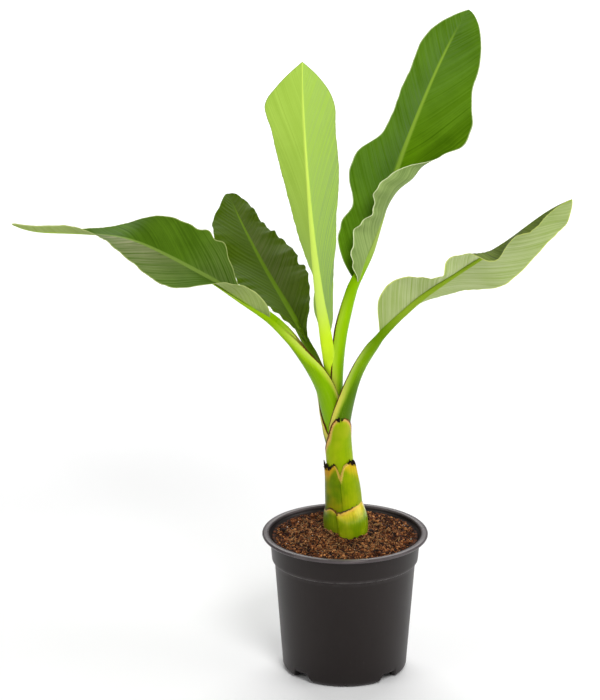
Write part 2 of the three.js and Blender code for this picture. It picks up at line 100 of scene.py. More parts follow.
def blade_half(widths, fold, base=0.12, tip=(0.15, 2, 0.5), curl=NONE, wave=NO_WAVE, dull=NONE,
               ragged=(0.012,)):
    """Sizes of one half of a blade."""
    return dict(widths=widths, fold=fold, base=base, tip=tip, curl=curl, wave=wave, dull=dull, ragged=ragged)


def stalk_form(half, deep, turn, plus=None, plus_turn=None, lift=NONE, fore=NONE, roll=NONE, unroll=(-40, 0),
               sink=(0, 50)):
    """Sizes of a stalk. Its plus side is like its minus side where it has no sizes of its own."""
    return dict(minus=half, plus=plus or half, deep=deep, minus_turn=turn, plus_turn=plus_turn or turn,
                lift=lift, fore=fore, roll=roll, unroll=unroll, sink=sink)


# Leaves. Rise and heading run at even steps from the fork to the tip; widths, fold and curl run at even
# steps along the blade. Minus and plus are the halves left and right of someone who looks along the leaf
# from the fork. Rib gives its widths at the blade's base and at its tip, and drawn half its width on the
# upper side. Slant is how far a vein runs along the leaf for each step out. A tip is its share of the
# blade, its power and its rounding. A wave is its height, count and phase. The sheen lists give how far
# the skin is greyed along the blade, a painted sheen that stands in for light reflected off the skin, on
# its upper side if seen is 1 and its under side if it is -1, and fade is the share of it that is lost at
# the margin. Ragged is how far the margin wanders, as a share of the width.
LEAVES = dict(
    centre=dict(
        length=401, stalk=95, seen=-1, slant=2.4, fade=-0.2, set=1.5, rib=(13, 1), taper=2, drawn=(1.5, 0.5),
        rise=(87, 78, 73, 76, 80, 83, 90),
        heading=(-170, -128, -116, -114, -115, -115, -115),
        minus=blade_half((16, 19, 25.5, 28.5, 32, 32.5, 35, 36.5, 35.5, 33, 33.5, 35, 36),
                         (85, 82, 70, 61, 53, 42, 38), base=0.1, tip=(0.2, 2, 1),
                         dull=(1, 0.9, 0.8, 0.7, 0.6, 0.5, 0.4, 0.3), ragged=(0.004,)),
        plus=blade_half((24, 26, 30, 33, 36, 38, 40, 41, 42, 43.5, 47.5, 41.5, 36),
                        (40, 42, 56, 49, 42, 37, 32, 26, 20, 15, 10, 9, 8), base=0.1, tip=(0.2, 2, 1),
                        dull=(0.6, 0.4, 0.1, 0, 0, 0), ragged=(0.004,))),
    tall=dict(
        LEAF, length=447, stalk=150, seen=1, set=6, rib=(15, 1), taper=3.4, drawn=(2.5, 1),
        rise=(88, 82, 68, 70, 66, 62, 54),
        heading=(30,),
        minus=blade_half((20, 33, 39, 33, 46, 46, 28.5, 26, 27, 26, 28.5, 29, 28),
                         (40, 40, 40, 40, 38, 42, 45), tip=(0.19, 1.9, 1), wave=(1, 4, 0.3),
                         dull=(0.1, 0.3, 0.6, 0.7, 0.6, 0.5)),
        plus=blade_half((18, 24, 29, 30, 48, 58, 48, 62, 56, 44.5, 43.5, 40.5, 35),
                        (50, 66, 70, 20, -8, -60, -60, -38, -33, -32, -30, -26, -22), tip=(0.22, 2, 0.5),
                        curl=(15, 26, 30, 70, 128, 180, 80, 15, 0, 0, 0, 0, 0), wave=(1, 5, 0),
                        dull=(0, 0, 0, 0, 0.1, 0.3, 0.5, 0.5),
                        ragged=(0.04, 0.04, 0.04, 0.03, 0.01, 0.004, 0.004))),
    left=dict(
        LEAF, length=421, stalk=132, seen=1, set=6.5, rib=(13, 1), taper=3, drawn=(1.7, 0.8),
        rise=(75, 66, 57, 46, 36, 31, 27, 25, 19.5, 3.5, -1, 0.5, 24),
        heading=(170, 168, 168, 168),
        minus=blade_half((14, 18, 24, 32, 41.5, 42, 35, 26, 14, 11.5, 9, 7.5, 6.5),
                         (85, 40, -17, -20, 10, 75, 80), wave=(2, 3, 0),
                         dull=(0, 0, 0, 0.05, 0.2, 0.45, 0.8, 1, 0.8, 0.2, 0, 0, 0)),
        plus=blade_half((2, 4, 12, 34, 43, 41, 37, 32, 19, 6, 4, 3.5, 3), (95, 78, 50, 47, 5, 85, 85),
                        base=0.1, wave=(2, 5, 0), dull=(0.3, 0.3, 0.2, 0, 0, 0, 0, 0, 0),
                        ragged=(0.03, 0.035, 0.035, 0.02, 0.01, 0.008, 0.008))),
    right=dict(
        LEAF, length=416, stalk=122, seen=-1, set=3, rib=(9, 1.5), taper=1.4, drawn=(1.2, 0.6),
        rise=(75, 67.5, 60, 53, 47, 42.5, 38, 36, 35.5, 36.5, 40, 36, 26),
        heading=(-40,),
        minus=blade_half((20, 24, 28, 32, 36, 39.5, 42, 41, 37, 34, 33.5, 28, 29),
                         (30, 16, 3, -14, -24, -36, -46, -46, -42, -34, -29, -33, -20), base=0.1,
                         tip=(0.16, 2, 1), wave=(1, 3, 0.4), dull=(0.1, 0.3, 0.5, 0.7, 0.5, 0.2, 0),
                         ragged=(0.004,)),
        plus=blade_half((8, 22, 31, 30, 24, 19, 31, 25, 29, 14, 17, 8, 4),
                        (85, 68, 62, 57, 35, 7, 22, 14, -28, -18, -35, -24, -10), base=0.1, tip=(0.12, 2, 1),
                        dull=(0, 0.4, 0.6, 0.8, 0.6, 0.3, 0))),
    back=dict(
        LEAF, length=322, stalk=92, seen=1, set=6.5, rib=(9, 1), taper=1.6, drawn=(1.7, 0.5),
        rise=(62, 54, 36, 27, 27, 25, 26),
        heading=(128, 120, 114, 108),
        minus=blade_half((8, 15, 27.5, 33, 38, 40, 41, 41.5, 41, 38, 33, 23.5, 18), (50, 20, 8, 0, 5, 10, 15),
                         tip=(0.35, 2, 0.5), wave=(2, 4, 0.5), ragged=(0.015,)),
        plus=blade_half((4, 9, 20, 29, 36, 38, 36, 37, 29, 25, 22, 25.5, 25), (20, 12, 16, 14, 5, 8, 8),
                        tip=(0.35, 2, 0.5), wave=(2.5, 6, 0.2), dull=(0.1, 0.3, 0.5, 0.5, 0.3, 0.1),
                        ragged=(0.035,))),
)

# Stalks, at even steps from 40 mm below the fork to 100 mm above it: half width, depth, turn of the margins
# from the keel, how far the middle lies above the midrib line and in front of it, and roll. The roll is
# lost, and the rib sinks below the sheet, between two distances from the blade's base.
STALK_FROM, STALK_TO = -40, 100
STALKS = dict(
    centre=stalk_form((6.8, 7, 7.2, 7.2, 7, 6.8, 6.6, 6.5), (6, 6.2, 6.4, 6.4, 6.2, 6, 5.8, 5.7), (106,),
                      fore=(0, -2, -4, -5, -5, -5, -3, 0)),
    tall=stalk_form((7.5, 8, 8.8, 8.8, 8.4, 8, 7.7, 7.4), (7.5, 8, 8, 7.8, 7.6, 7.8, 8.4, 9), (112,),
                    lift=(3, 3, 3, 4, 5, 5.4, 6.2, 7.2), fore=(0, 0, 0, 0, 2, 4, 5, 5), roll=(45,),
                    unroll=(0, 60), sink=(60, 130)),
    left=stalk_form((10.5, 11.5, 13.5, 15, 15.5, 12.5, 8.6, 7.2), (10, 10.6, 10.8, 10.2, 9.8, 10.2, 9.6, 8.6),
                    (150, 145, 140, 138, 134, 126, 112, 108), plus=(10, 10.8, 12, 12, 11, 9, 7.8, 7),
                    plus_turn=(150, 140, 128, 118, 112, 110, 108, 108), lift=(0, 0, 2, 3.5, 4.5, 4.5, 3.5, 3),
                    fore=(0, 0, 1.5, 4, 6, 5, 2, 0), roll=(-30, -35, -40, -40, -35, -28, -22, -20),
                    unroll=(-50, 0)),
    right=stalk_form((10.8, 11.5, 13, 12.6, 10.4, 8.2, 7.2, 6.6), (10.5, 10.6, 10.4, 9, 8.2, 7, 6.2, 5.8),
                     (150, 130, 110, 100, 98, 102, 104, 106), plus_turn=(165, 140, 110, 96, 92, 98, 104, 106),
                     fore=(0, 0, 0, 2.5, 3.5, 2, 0, 0)),
    back=stalk_form((11.4, 12, 13.2, 11, 9, 7.4, 6.2, 5.4), (11.2, 11.8, 12.8, 10.6, 8.6, 7, 5.8, 5),
                    (150, 125, 95, 80, 85, 95, 102, 104), plus_turn=(150, 135, 115, 100, 98, 100, 102, 104)),
)
# Wall of the open sheath at a stalk's foot, and turn of a rib's margins from its keel
SHEATH_WALL, RIB_TURN = 2.2, 102
# Steps in which a midrib is summed, and rows and columns of the grids
WALK_STEPS = 400
RIB_ROWS, RIB_COLUMNS = 150, 36
BLADE_ROWS, HALF_COLUMNS = 260, 30
# Thickness of a blade beside its rib and at its margin, depth and spacing of its pleats, bend of its veins
BLADE = dict(thick=(0.8, 0.36), pleat=0.16, spacing=7.5, bend=0.007)

# Peaks of a sum of many sines, as a multiple of its usual size
NOISE_PEAK = 1.6


# Arithmetic on whole arrays

def ease(values, share):
    """Smooth curve through values at even steps, for shares from 0 to 1 (a Catmull-Rom spline)."""
    v = np.asarray(values, float)
    share = np.clip(np.asarray(share, float), 0, 1)
    last = len(v) - 1
    if last == 0:
        return np.full_like(share, v[0])
    i = np.minimum((share * last).astype(int), last - 1)
    f = share * last - i
    p1, p2 = v[i], v[i + 1]
    p0 = np.where(i > 0, v[np.maximum(i - 1, 0)], 2 * p1 - p2)
    p3 = np.where(i < last - 1, v[np.minimum(i + 2, last)], 2 * p2 - p1)
    bend = (2 * p0 - 5 * p1 + 4 * p2 - p3) * f**2 + (3 * p1 - p0 - 3 * p2 + p3) * f**3
    return 0.5 * (2 * p1 + (p2 - p0) * f + bend)


def smooth(x, low, high):
    """0 at low, 1 at high, level past them, and a smooth step 3t2 - 2t3 between them."""
    t = np.clip((np.asarray(x, float) - low) / (high - low), 0, 1)
    return t * t * (3 - 2 * t)


def mixed(a, b, share):
    """a at share 0, b at share 1, in a straight line between."""
    return a + (b - a) * share


def round_turns(count):
    """Headings at even steps round the circle, in radians."""
    return np.linspace(0, 2 * np.pi, count + 1)[:-1]


def wander(x, seed, low, high, count=6):
    """Noise of about -1 to 1 along x: a sum of sines whose drawn frequencies lie between low and high."""
    draw = np.random.default_rng(seed)
    turns = draw.uniform(low, high, count) * np.asarray(x, float)[..., None] + draw.uniform(0, 1, count)
    return np.sin(2 * np.pi * turns).sum(-1) * math.sqrt(2 / count) / NOISE_PEAK


def lumps(x, y, seed, size, count=14):
    """Noise of about -1 to 1 over a plane: a sum of plane waves of about one length in drawn directions."""
    draw = np.random.default_rng(seed)
    turn, phase = draw.uniform(0, 2 * np.pi, count), draw.uniform(0, 2 * np.pi, count)
    pull = 2 * np.pi / (size * draw.uniform(0.7, 1.4, count))
    waves = np.sin((x[..., None] * np.cos(turn) + y[..., None] * np.sin(turn)) * pull + phase)
    return waves.sum(-1) * math.sqrt(2 / count) / NOISE_PEAK


# Closed surfaces

class Shell:
    """Points, faces and named values at the points of one or more closed surfaces."""

    def __init__(self, points, quads, tris, marks):
        self.points, self.quads, self.tris, self.marks = points, quads, tris, marks


def outward(points, quads):
    """The quads, turned round if the volume that they enclose comes out below zero."""
    a, b, c, d = (points[quads[:, k]] for k in range(4))
    volume = np.einsum("ij,ij->", a, np.cross(b, c) + np.cross(c, d))
    return quads[:, ::-1] if volume < 0 else quads


def two_sided(first, second=None):
    """Columns of a thin body's first side, then those of its second side, or the first again, in reverse."""
    return np.concatenate([first, (first if second is None else second)[:, ::-1]], 1)


def loft(rings, **marks):
    """A closed body from rings of points: each ring joins the next, and a strip of faces between a ring's
    first half and its second half closes each end. Marks are values at the ring points."""
    n, m = rings.shape[:2]
    i, k = np.meshgrid(np.arange(n - 1), np.arange(m), indexing="ij")
    a, b = i * m + k, i * m + (k + 1) % m
    walls = np.stack([a, b, b + m, a + m], -1).reshape(-1, 4)
    k = np.arange(m // 2 - 1)
    foot = np.stack([k, m - 1 - k, m - 2 - k, k + 1], -1)
    head = foot[:, ::-1] + (n - 1) * m
    points = rings.reshape(-1, 3)
    quads = outward(points, np.concatenate([walls, foot, head]))
    marks = {name: np.broadcast_to(value, (n, m)).ravel() for name, value in marks.items()}
    return Shell(points, quads, np.zeros((0, 3), int), marks)


def shown(name, shells, finish, slot, *nodes):
    """Puts shells into Blender as one smooth piece in metres, which rides on the root. A piece that stands
    for CAD nodes is called a skin."""
    start = np.cumsum([0] + [len(s.points) for s in shells])
    points = np.concatenate([s.points for s in shells]) * MM
    quads = np.concatenate([s.quads + o for s, o in zip(shells, start)])
    tris = np.concatenate([s.tris + o for s, o in zip(shells, start)])
    mesh = bpy.data.meshes.new(name)
    mesh.vertices.add(len(points))
    mesh.vertices.foreach_set("co", points.ravel())
    mesh.loops.add(quads.size + tris.size)
    mesh.loops.foreach_set("vertex_index", np.concatenate([quads.ravel(), tris.ravel()]))
    mesh.polygons.add(len(quads) + len(tris))
    first = np.concatenate([np.arange(len(quads)) * 4, quads.size + np.arange(len(tris)) * 3])
    mesh.polygons.foreach_set("loop_start", first)
    mesh.polygons.foreach_set("use_smooth", np.ones(len(first), bool))
    for mark in sorted({m for s in shells for m in s.marks}):
        values = np.concatenate([s.marks.get(mark, np.zeros(len(s.points))) for s in shells])
        mesh.attributes.new(mark, "FLOAT", "POINT").data.foreach_set("value", values.astype(np.float32))
    mesh.update(calc_edges=True)
    mesh.validate()
    mesh.materials.append(finish)
    piece = bpy.data.objects.new(name + "_skin" if nodes else name, mesh)
    bpy.context.scene.collection.objects.link(piece)
    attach(piece, "root")
    if nodes:
        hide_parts(*nodes)


# Finishes

class Value:
    """A socket of a finish's nodes. Arithmetic on it adds Math nodes."""

    def __init__(self, finish, socket):
        self.finish, self.socket = finish, socket

    def maths(self, operation, *terms):
        """One sum, difference or product of the terms."""
        return self.finish.node("ShaderNodeMath", {"operation": operation}, dict(enumerate(terms)))

    def __add__(self, other):
        return self.maths("ADD", self, other)

    def __radd__(self, other):
        return self.maths("ADD", other, self)

    def __sub__(self, other):
        return self.maths("SUBTRACT", self, other)

    def __rsub__(self, other):
        return self.maths("SUBTRACT", other, self)

    def __mul__(self, other):
        return self.maths("MULTIPLY", self, other)

    def __rmul__(self, other):
        return self.maths("MULTIPLY", other, self)

    def step(self, low, high):
        """0 where the value is at low, 1 where it is at high, and a smooth step between."""
        sockets = {"Value": self, "From Min": low, "From Max": high, "To Min": 0.0, "To Max": 1.0}
        return self.finish.node("ShaderNodeMapRange", {"interpolation_type": "SMOOTHSTEP"}, sockets)


class Finish:
    """A material made of nodes round one Principled shader, whose constant sockets are set by name."""

    def __init__(self, name, **constants):
        self.material = bpy.data.materials.new(name)
        self.material.use_nodes = True
        self.tree = self.material.node_tree
        self.tree.nodes.clear()
        out = self.tree.nodes.new("ShaderNodeOutputMaterial")
        self.shader = self.tree.nodes.new("ShaderNodeBsdfPrincipled")
        self.tree.links.new(self.shader.outputs["BSDF"], out.inputs["Surface"])
        for socket, value in constants.items():
            self.shader.inputs[socket.replace("_", " ")].default_value = value

    def node(self, kind, settings, sockets, output=0):
        """One node: its settings, then the values or links of its sockets. Gives one of its outputs."""
        made = self.tree.nodes.new(kind)
        for key, value in settings.items():
            if key == "stops":
                ramp = made.color_ramp.elements
                while len(ramp) < len(value):
                    ramp.new(1.0)
                for element, (at, colour) in zip(ramp, value):
                    element.position, element.color = at, (*colour, 1.0)
            else:
                setattr(made, key, value)
        for key, value in sockets.items():
            if isinstance(value, Value):
                self.tree.links.new(value.socket, made.inputs[key])
            else:
                made.inputs[key].default_value = value
        return Value(self, made.outputs[output])

    def mark(self, name):
        """A value that the piece's points carry."""
        return self.node("ShaderNodeAttribute", {"attribute_name": name}, {}, "Fac")

    def place(self):
        """Object coordinates, in metres."""
        return self.node("ShaderNodeTexCoord", {}, {}, "Object")

    def noise(self, where, scale, detail=3.0, roughness=0.55):
        """Noise of about 0 to 1, with about so many lumps as scale says to each unit of where."""
        sockets = {"Vector": where, "Scale": scale, "Detail": detail, "Roughness": roughness}
        return self.node("ShaderNodeTexNoise", {}, sockets)

    def vector(self, x, y, z=0.0):
        """A place made of values along its axes."""
        return self.node("ShaderNodeCombineXYZ", {}, {"X": x, "Y": y, "Z": z})

    def stretch(self, where, x, y, z):
        """A place multiplied along each axis."""
        return self.node("ShaderNodeVectorMath", {"operation": "MULTIPLY"}, {0: where, 1: (x, y, z)})

    def colour(self, share, a, b):
        """Colour a where share is 0, b where it is 1."""
        a, b = (c if isinstance(c, Value) else (*c, 1.0) for c in (a, b))
        return self.node("ShaderNodeMix", {"data_type": "RGBA"}, {0: share, 6: a, 7: b}, 2)

    def ramp(self, share, *stops):
        """The colours of the stops, mixed in a straight line between their shares."""
        return self.node("ShaderNodeValToRGB", {"stops": stops}, {"Fac": share})

    def paint(self, colour, roughness=None, height=None, depth=0.0, strength=0.0):
        """Feeds the shader: colour, roughness, and a bump of that depth in metres."""
        sockets = self.shader.inputs
        self.tree.links.new(colour.socket, sockets["Base Color"])
        if roughness is not None:
            self.tree.links.new(roughness.socket, sockets["Roughness"])
        if height is not None:
            relief = {"Height": height, "Strength": strength, "Distance": depth}
            self.tree.links.new(self.node("ShaderNodeBump", {}, relief).socket, sockets["Normal"])
        return self.material


def pot_finish():
    """Satin black moulded plastic: fine grain, faint upright flow lines, scuffed, paler edges, and a paler
    grey on the lip's top that is a painted sheen.
    """
    f = Finish("pot_plastic", Specular_IOR_Level=0.3, Specular_Tint=(1.0, 0.87, 0.84, 1.0))
    place = f.place()
    grain = f.noise(place, 1500.0, 2.0)
    cloud = f.noise(place, 30.0, 4.0)
    flow = f.noise(f.stretch(place, 260.0, 260.0, 9.0), 1.0, 3.0)
    scuff = f.noise(f.stretch(place, 500.0, 500.0, 120.0), 1.0, 5.0, 0.7).step(0.6, 0.78)
    worn = f.mark("worn") * f.noise(place, 180.0, 4.0).step(0.15, 0.65)
    plain = f.colour(cloud * 0.7 + flow * 0.3, (0.005, 0.004, 0.004), (0.011, 0.009, 0.009))
    tone = f.colour(scuff * 0.12 + worn * 0.8, plain, (0.1, 0.092, 0.092))
    # Painted sheen: the lip's top is a paler grey where light glances off it.
    tone = f.colour(f.mark("lip") * (0.2 + 1.0 * cloud), tone, (0.1, 0.086, 0.09))
    rough = 0.36 + 0.12 * cloud + 0.10 * scuff - 0.14 * f.mark("lip")
    return f.paint(tone, rough, grain * 0.5 + flow * 0.5, 0.00012, 0.35)


def peat_finish(name, dark, mid, light):
    """Moist peat: each crumb has its own tone, with fine grain over it."""
    f = Finish(name, Specular_IOR_Level=0.25)
    place = f.place()
    grain = f.noise(place, 900.0, 5.0, 0.65)
    patch = f.noise(place, 70.0, 3.0)
    tone = f.mark("tone") * 0.95 + grain * 0.6 + patch * 0.2 - 0.36
    colour = f.ramp(tone, (0.15, dark), (0.55, mid), (1.0, light))
    return f.paint(colour, 0.78 + 0.2 * grain, grain, 0.0006, 0.8)


def sheath_finish(name, green, pale, cream, shade, line, gloss, band, wax=0.0):
    """Waxy sheath: shaded green with lengthwise fibres, yellowing to its top, with a cream band and a thin
    brown line along its margin, and a blackened torn tip. Line and wax are shares of the line and of a clear
    coat, and band is the band's width in millimetres."""
    f = Finish(name, Specular_IOR_Level=gloss, Specular_Tint=(0.9, 0.95, 0.2, 1.0), Coat_Weight=wax,
               Coat_Roughness=0.12)
    place = f.place()
    fibre = f.noise(f.vector(f.mark("turn") * 1.6, f.mark("height") * 0.018), 1.0, 3.0)
    patch = f.noise(place, 48.0, 4.0)
    fine = f.noise(place, 420.0, 4.0)
    edge, dry, yellow = f.mark("edge"), f.mark("dry"), f.mark("pale")
    body = f.colour((fibre * 0.3 + patch * 0.9 - 0.1).step(0.2, 0.8), shade, green)
    body = f.colour(f.noise(place, 33.0, 2.0).step(0.45, 0.75) * 0.45, body, pale)
    body = f.colour((yellow * 0.9 + patch * 0.6 + fibre * 0.5 - 0.55).step(0.0, 0.8), body, pale)
    rust = (yellow * 0.6 + f.noise(place, 130.0, 4.0) - 0.7).step(0.12, 0.42)
    body = f.colour(rust * 0.55, body, (0.4, 0.13, 0.01))
    wobble = edge + fine * 2.4 - 1.2
    body = f.colour(wobble.step(band, 0.35 * band) * f.mark("band"), body, cream)
    body = f.colour(wobble.step(2.0, 0.9) * line, body, (0.09, 0.02, 0.007))
    colour = f.colour((dry + fine * 0.6 - 0.3).step(0.25, 0.6), body, (0.012, 0.006, 0.006))
    rough = (0.38 - 0.3 * gloss) + 0.14 * patch + 0.4 * dry
    return f.paint(colour, rough, fibre * 0.7 + fine * (0.2 + 2.0 * dry), 0.0004, 0.5)


def stalk_finish(name, green, light, shade, keel, joint, length):
    """Smooth waxy stalk: pale to its margins and darker along its keel, with lengthwise streaks, a cream
    band near the fork and a brown line along the margins. It runs into the joint's colour at the blade.
    The darker keel is painted shade, darkest near the fork; the paler margins are partly painted light and
    partly the stalk's own paler margin."""
    f = Finish(name, Specular_IOR_Level=0.08, Specular_Tint=(0.8, 0.95, 0.25, 1.0))
    place = f.place()
    up, edge = f.mark("up"), f.mark("edge")
    streak = f.noise(f.vector(f.mark("turn") * 2.2, up * 0.012), 1.0, 3.0)
    thread = f.noise(f.vector(f.mark("turn") * 5.0, up * 0.02), 1.0, 2.0)
    fine = f.noise(place, 500.0, 3.0)
    # Painted shade: the keel takes the shade tone near the fork and the keel tone higher up.
    spine = f.colour(up.step(40.0, 110.0), shade, keel)
    body = f.colour((edge + streak * 5.0 - 2.5).step(6.0, 12.0), green, spine)
    # Partly painted light: the margins turn paler, which is also the stalk's own paler margin.
    body = f.colour((edge + streak * 4.0 - 2.0).step(8.0, 2.0) * 0.8, body, light)
    body = f.colour(thread.step(0.55, 0.75) * 0.3, body, light)
    body = f.colour(up.step(length - 40.0, length - 4.0), body, joint)
    wobble = edge + fine * 1.6 - 0.8
    body = f.colour(wobble.step(11.0, 4.0) * up.step(70.0, 25.0) * 0.85, body, (0.7, 0.62, 0.1))
    line = wobble.step(2.0, 0.9) * up.step(length - 5.0, length - 50.0)
    colour = f.colour(line, body, (0.085, 0.018, 0.006))
    return f.paint(colour, 0.3 + 0.14 * streak, streak * 0.8 + fine * 0.2, 0.0004, 0.4)


def blade_finish(name, dark, green, under, under_light, rib, rib_under, painted_sheen_colour, rim, joint):
    """Leaf: parallel slanting veins, a pale midrib, a thin pale margin and greyed parts that are a painted
    sheen; the under side is paler and greyer. At the blade's base the rib starts in the stalk's colour."""
    f = Finish(name, Specular_IOR_Level=0.04, Specular_Tint=(0.6, 0.75, 0.15, 1.0))
    place = f.place()
    vein, out, edge = f.mark("vein"), f.mark("out"), f.mark("edge")
    streak = f.noise(f.vector(vein * 0.18, out * 0.012), 1.0, 3.0)
    thread = f.noise(f.vector(vein * 0.9, out * 0.02, 7.0), 1.0, 2.0)
    line = f.noise(f.vector(vein * 0.45, out * 0.01, 3.0), 1.0, 2.0)
    cloud = f.noise(place, 26.0, 4.0)
    above = (streak * 0.4 + line * 0.45 + thread * 0.2 + cloud * 0.4 - 0.22).step(0.2, 0.8)
    below = (streak * 0.5 + line * 0.5 + thread * 0.2 + cloud * 0.3 - 0.25).step(0.2, 0.8)
    side = f.mark("side")
    skin = f.colour(side.step(0.35, 0.65), f.colour(below, under, under_light), f.colour(above, dark, green))
    # Painted sheen: greyed patches along the veins that stand in for light reflected off the skin.
    skin = f.colour(f.mark("dull") * (streak * 0.5 + line * 0.8 + cloud * 0.2).step(0.5, 0.95), skin, painted_sheen_colour)
    ribbed = f.colour(side.step(0.35, 0.65), rib_under, rib)
    ribbed = f.colour(f.mark("reach").step(0.0, 50.0), joint, ribbed)
    skin = f.colour(f.mark("rib"), skin, ribbed)
    colour = f.colour((edge + 0.6 * cloud).step(1.7, 0.8) * (0.9 - 0.3 * side), skin, rim)
    rough = 0.40 + 0.2 * cloud + 0.1 * streak - 0.06 * side
    return f.paint(colour, rough, streak * 0.4 + line * 0.4 + thread * 0.2, 0.0005, 0.5)


# Pot

def notch_height(turn, radius):
    """Height of the notches above the foot, at headings and radii: a trapezium across each notch."""
    height = np.zeros(np.broadcast(turn, radius).shape)
    for count, first, width, high, slope, inner in NOTCHES:
        step = 2 * np.pi / count
        off = np.abs((turn - math.radians(first) + step / 2) % step - step / 2) * radius
        across = np.clip((width / 2 - off) / slope, 0, 1) * high
        height = np.maximum(height, np.where(radius > inner, across, 0))
    return height


def pot():
    """Turned pot: a profile of radius and height carried round Z, from the middle of the foot up the
    outside, over the rolled lip and down the inside. The foot rises to each notch, and the floor inside
    rises over it."""
    p = POT
    hollow, floor, thick = p["hollow"], p["floor"], p["wall"]
    below, above, top = p["wall_top"], p["band_foot"], p["band_top"]
    band, under = p["height"] - p["band"], p["height"] - p["lip_depth"]
    foot = p["wall_foot"] - p["corner"]
    underside = [(20, hollow), (40, hollow), (52.5, hollow), (54, 0), (55.5, 0), (57.5, 0), (58.5, 0)]
    quarter = np.linspace(0, np.pi / 2, 9)
    corner = np.stack([foot + p["corner"] * np.sin(quarter), p["corner"] * (1 - np.cos(quarter))], 1)
    wall = np.linspace((p["wall_foot"], p["corner"]), (below, band), 22)[1:-1]
    ledge = [(below - 0.05, band - 0.9), (below + 0.1, band - 0.35), (below + 0.7, band),
             (above - 0.7, band + 0.1), (above - 0.1, band + 0.5), (above + 0.05, band + 1.1)]
    collar = np.linspace((above, band), (top, under), 8)[1:-1]
    neck = [(top - 0.1, under - 2.4), (top + 0.5, under - 0.9), (top + 2, under - 0.2)]
    turn = np.linspace(-np.pi / 2 + 0.15, np.pi * 1.5 - 0.6, 30)
    middle, half, deep = p["rim"] - p["lip"] / 2, p["lip"] / 2, p["lip_depth"] / 2
    roll = np.stack([middle + half * np.sign(np.cos(turn)) * np.abs(np.cos(turn)) ** 0.7,
                     under + deep + deep * np.sin(turn)], 1)
    outside = [*underside, *corner, *wall, *ledge, *collar, *neck, *roll]
    inside = [(top - thick + 0.6, under - 1.2), (top - thick, under - 3), (above - thick, band + 3),
              (below - thick, band + 1), (below - thick, band - 2), (p["wall_foot"] - thick, p["corner"] + 6),
              (foot, floor), (40, floor), (20, floor)]
    profile = np.array([*outside, *inside])
    turn = round_turns(p["columns"])
    radius = np.broadcast_to(profile[:, :1], (len(profile), len(turn)))
    rise = notch_height(turn, radius)
    is_inside = np.arange(len(profile))[:, None] >= len(outside)
    height = np.maximum(profile[:, 1:], np.where(is_inside, np.where(rise > 0, rise + thick, 0), rise))
    rings = np.stack([radius * np.cos(turn), radius * np.sin(turn), height], -1)
    # Lip marks the top of the rolled lip, where a painted sheen of paler grey goes.
    lip = smooth(height, under - 0.3, under + 1.2)
    step = np.exp(-np.abs(height - band - 0.3) / 0.6) * ~is_inside
    edge = np.exp(-np.abs(height - 1.0) / 1.5) * 0.6
    worn = np.maximum(step * 1.6, edge)
    shown("pot", [loft(rings, worn=worn, lip=lip)], pot_finish(), "pot_plastic", "pot")


# Soil

def soil_level(x, y):
    """Height of the soil: slightly higher at the wall, a mound beside the stem, and heaps of three sizes."""
    radius = np.hypot(x, y)
    fall = smooth(radius, SOIL["flat"], POT["band_top"]) * (SOIL["level"] - SOIL["wall_level"])
    heap = sum(height * lumps(x, y, seed, size) for height, seed, size in SOIL["heaps"])
    at_x, at_y, reach, high = SOIL["mound"]
    mound = high * np.exp(-((x - at_x) ** 2 + (y - at_y) ** 2) / (2 * reach**2))
    return SOIL["level"] - fall + mound + heap * smooth(radius, *SOIL["heaped"])


def lump_shapes(count, seed, smallest, largest, flat):
    """Crumbs: icosahedra with drawn corner distances, stretched and turned at random. Gives points, faces,
    sizes and the generator that drew them."""
    golden = (1 + math.sqrt(5)) / 2
    corners = np.array([(-1, golden, 0), (1, golden, 0), (-1, -golden, 0), (1, -golden, 0),
                        (0, -1, golden), (0, 1, golden), (0, -1, -golden), (0, 1, -golden),
                        (golden, 0, -1), (golden, 0, 1), (-golden, 0, -1), (-golden, 0, 1)])
    corners = corners / math.hypot(1, golden)
    faces = np.array([(0, 11, 5), (0, 5, 1), (0, 1, 7), (0, 7, 10), (0, 10, 11), (1, 5, 9), (5, 11, 4),
                      (11, 10, 2), (10, 7, 6), (7, 1, 8), (3, 9, 4), (3, 4, 2), (3, 2, 6), (3, 6, 8),
                      (3, 8, 9), (4, 9, 5), (2, 4, 11), (6, 2, 10), (8, 6, 7), (9, 8, 1)])
    draw = np.random.default_rng(seed)
    size = smallest * (largest / smallest) ** draw.uniform(0, 1, count) ** 2
    shape = corners * draw.uniform(0.5, 1.4, (count, len(corners), 1)) * draw.uniform(0.5, 1.4, (count, 1, 3))
    turns = np.linalg.qr(draw.normal(size=(count, 3, 3)))[0]
    turns[:, :, 0] *= np.sign(np.linalg.det(turns))[:, None]
    shape = np.einsum("nij,nkj->nki", turns, shape) * (1, 1, flat) * size[:, None, None]
    index = faces[None] + len(corners) * np.arange(count)[:, None, None]
    return shape, index.reshape(-1, 3), size, draw


def scattered(count, seed, smallest, largest, flat, sunk, tones):
    """Crumbs strewn evenly over the soil inside the wall, each sunk by a share of its size. Their tones are
    drawn between two bounds and drift from place to place."""
    shape, faces, size, draw = lump_shapes(count, seed, smallest, largest, flat)
    radius = (POT["band_top"] - 4.5 - size) * np.sqrt(draw.uniform(0, 1, count))
    turn = draw.uniform(0, 2 * np.pi, count)
    x, y = radius * np.cos(turn), radius * np.sin(turn)
    place = np.stack([x, y, soil_level(x, y) + size * (1 - sunk) * 0.5], -1)
    tone = draw.uniform(*tones, count) + 0.2 * lumps(x, y, 31, 13) + 0.15 * lumps(x, y, 32, 5)
    points = (shape + place[:, None]).reshape(-1, 3)
    return Shell(points, np.zeros((0, 4), int), faces, {"tone": np.repeat(tone, shape.shape[1])})


